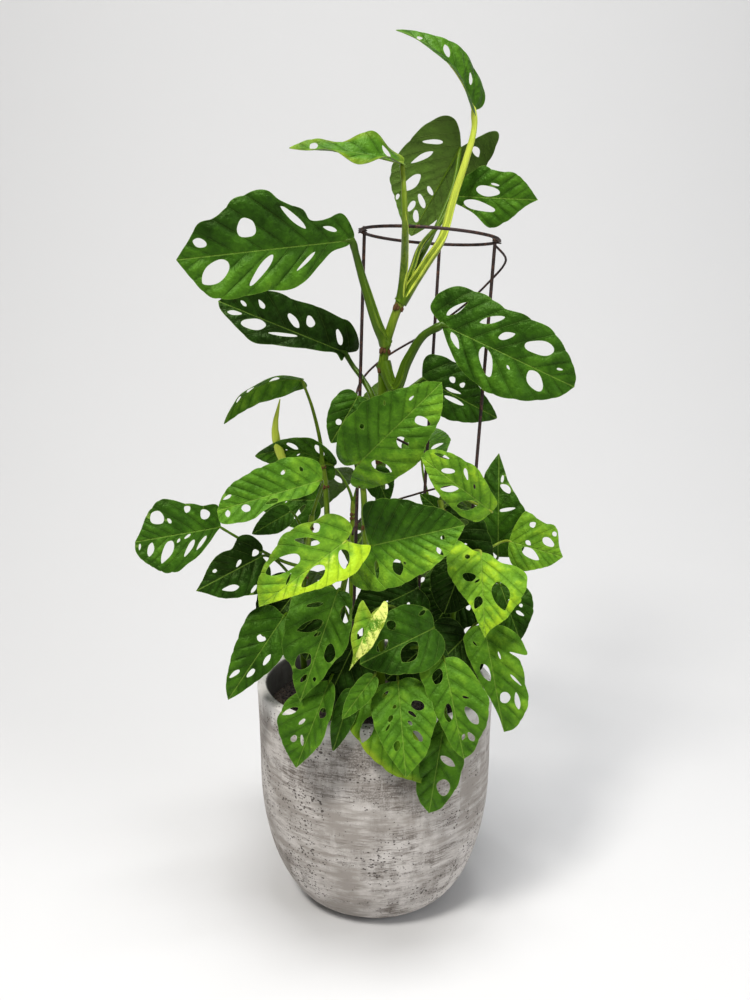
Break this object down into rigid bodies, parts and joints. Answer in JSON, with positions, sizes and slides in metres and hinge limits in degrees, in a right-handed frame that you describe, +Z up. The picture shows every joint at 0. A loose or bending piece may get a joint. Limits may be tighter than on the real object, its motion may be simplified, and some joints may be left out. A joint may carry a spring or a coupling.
{
  "type": "potted monstera",
  "caption": "Climbing monstera with broad, pierced green leaves on leafy canes, growing in a round, rough concrete-look pot with a rusty wire cage behind the leaves.",
  "frame": {"origin": "centre of the pot's flat base, where it rests", "axes": "+Z up; -Y towards the viewer of the picture, +X to the viewer's right"},
  "size_m": [0.3631, 0.3, 0.7717],
  "materials": {
    "rough_concrete": "rough",
    "dark_soil": "loose, matt",
    "rusty_wire": "rusty",
    "leaf_green": "satin"
  },
  "bodies": {
    "root": {"pot": "rough_concrete", "soil": "dark_soil", "wire_hoop": "rusty_wire", "wire_leg_left": "rusty_wire", "wire_leg_right": "rusty_wire", "wire_leg_back": "rusty_wire", "wire_spiral": "rusty_wire", "stem_tall": "leaf_green", "stem_left_back": "leaf_green", "stem_left": "leaf_green", "stem_front_left": "leaf_green", "stem_centre": "leaf_green", "stem_front": "leaf_green", "stem_right": "leaf_green", "stem_back_left": "leaf_green", "stem_back_right": "leaf_green"}
  },
  "joints": []
}
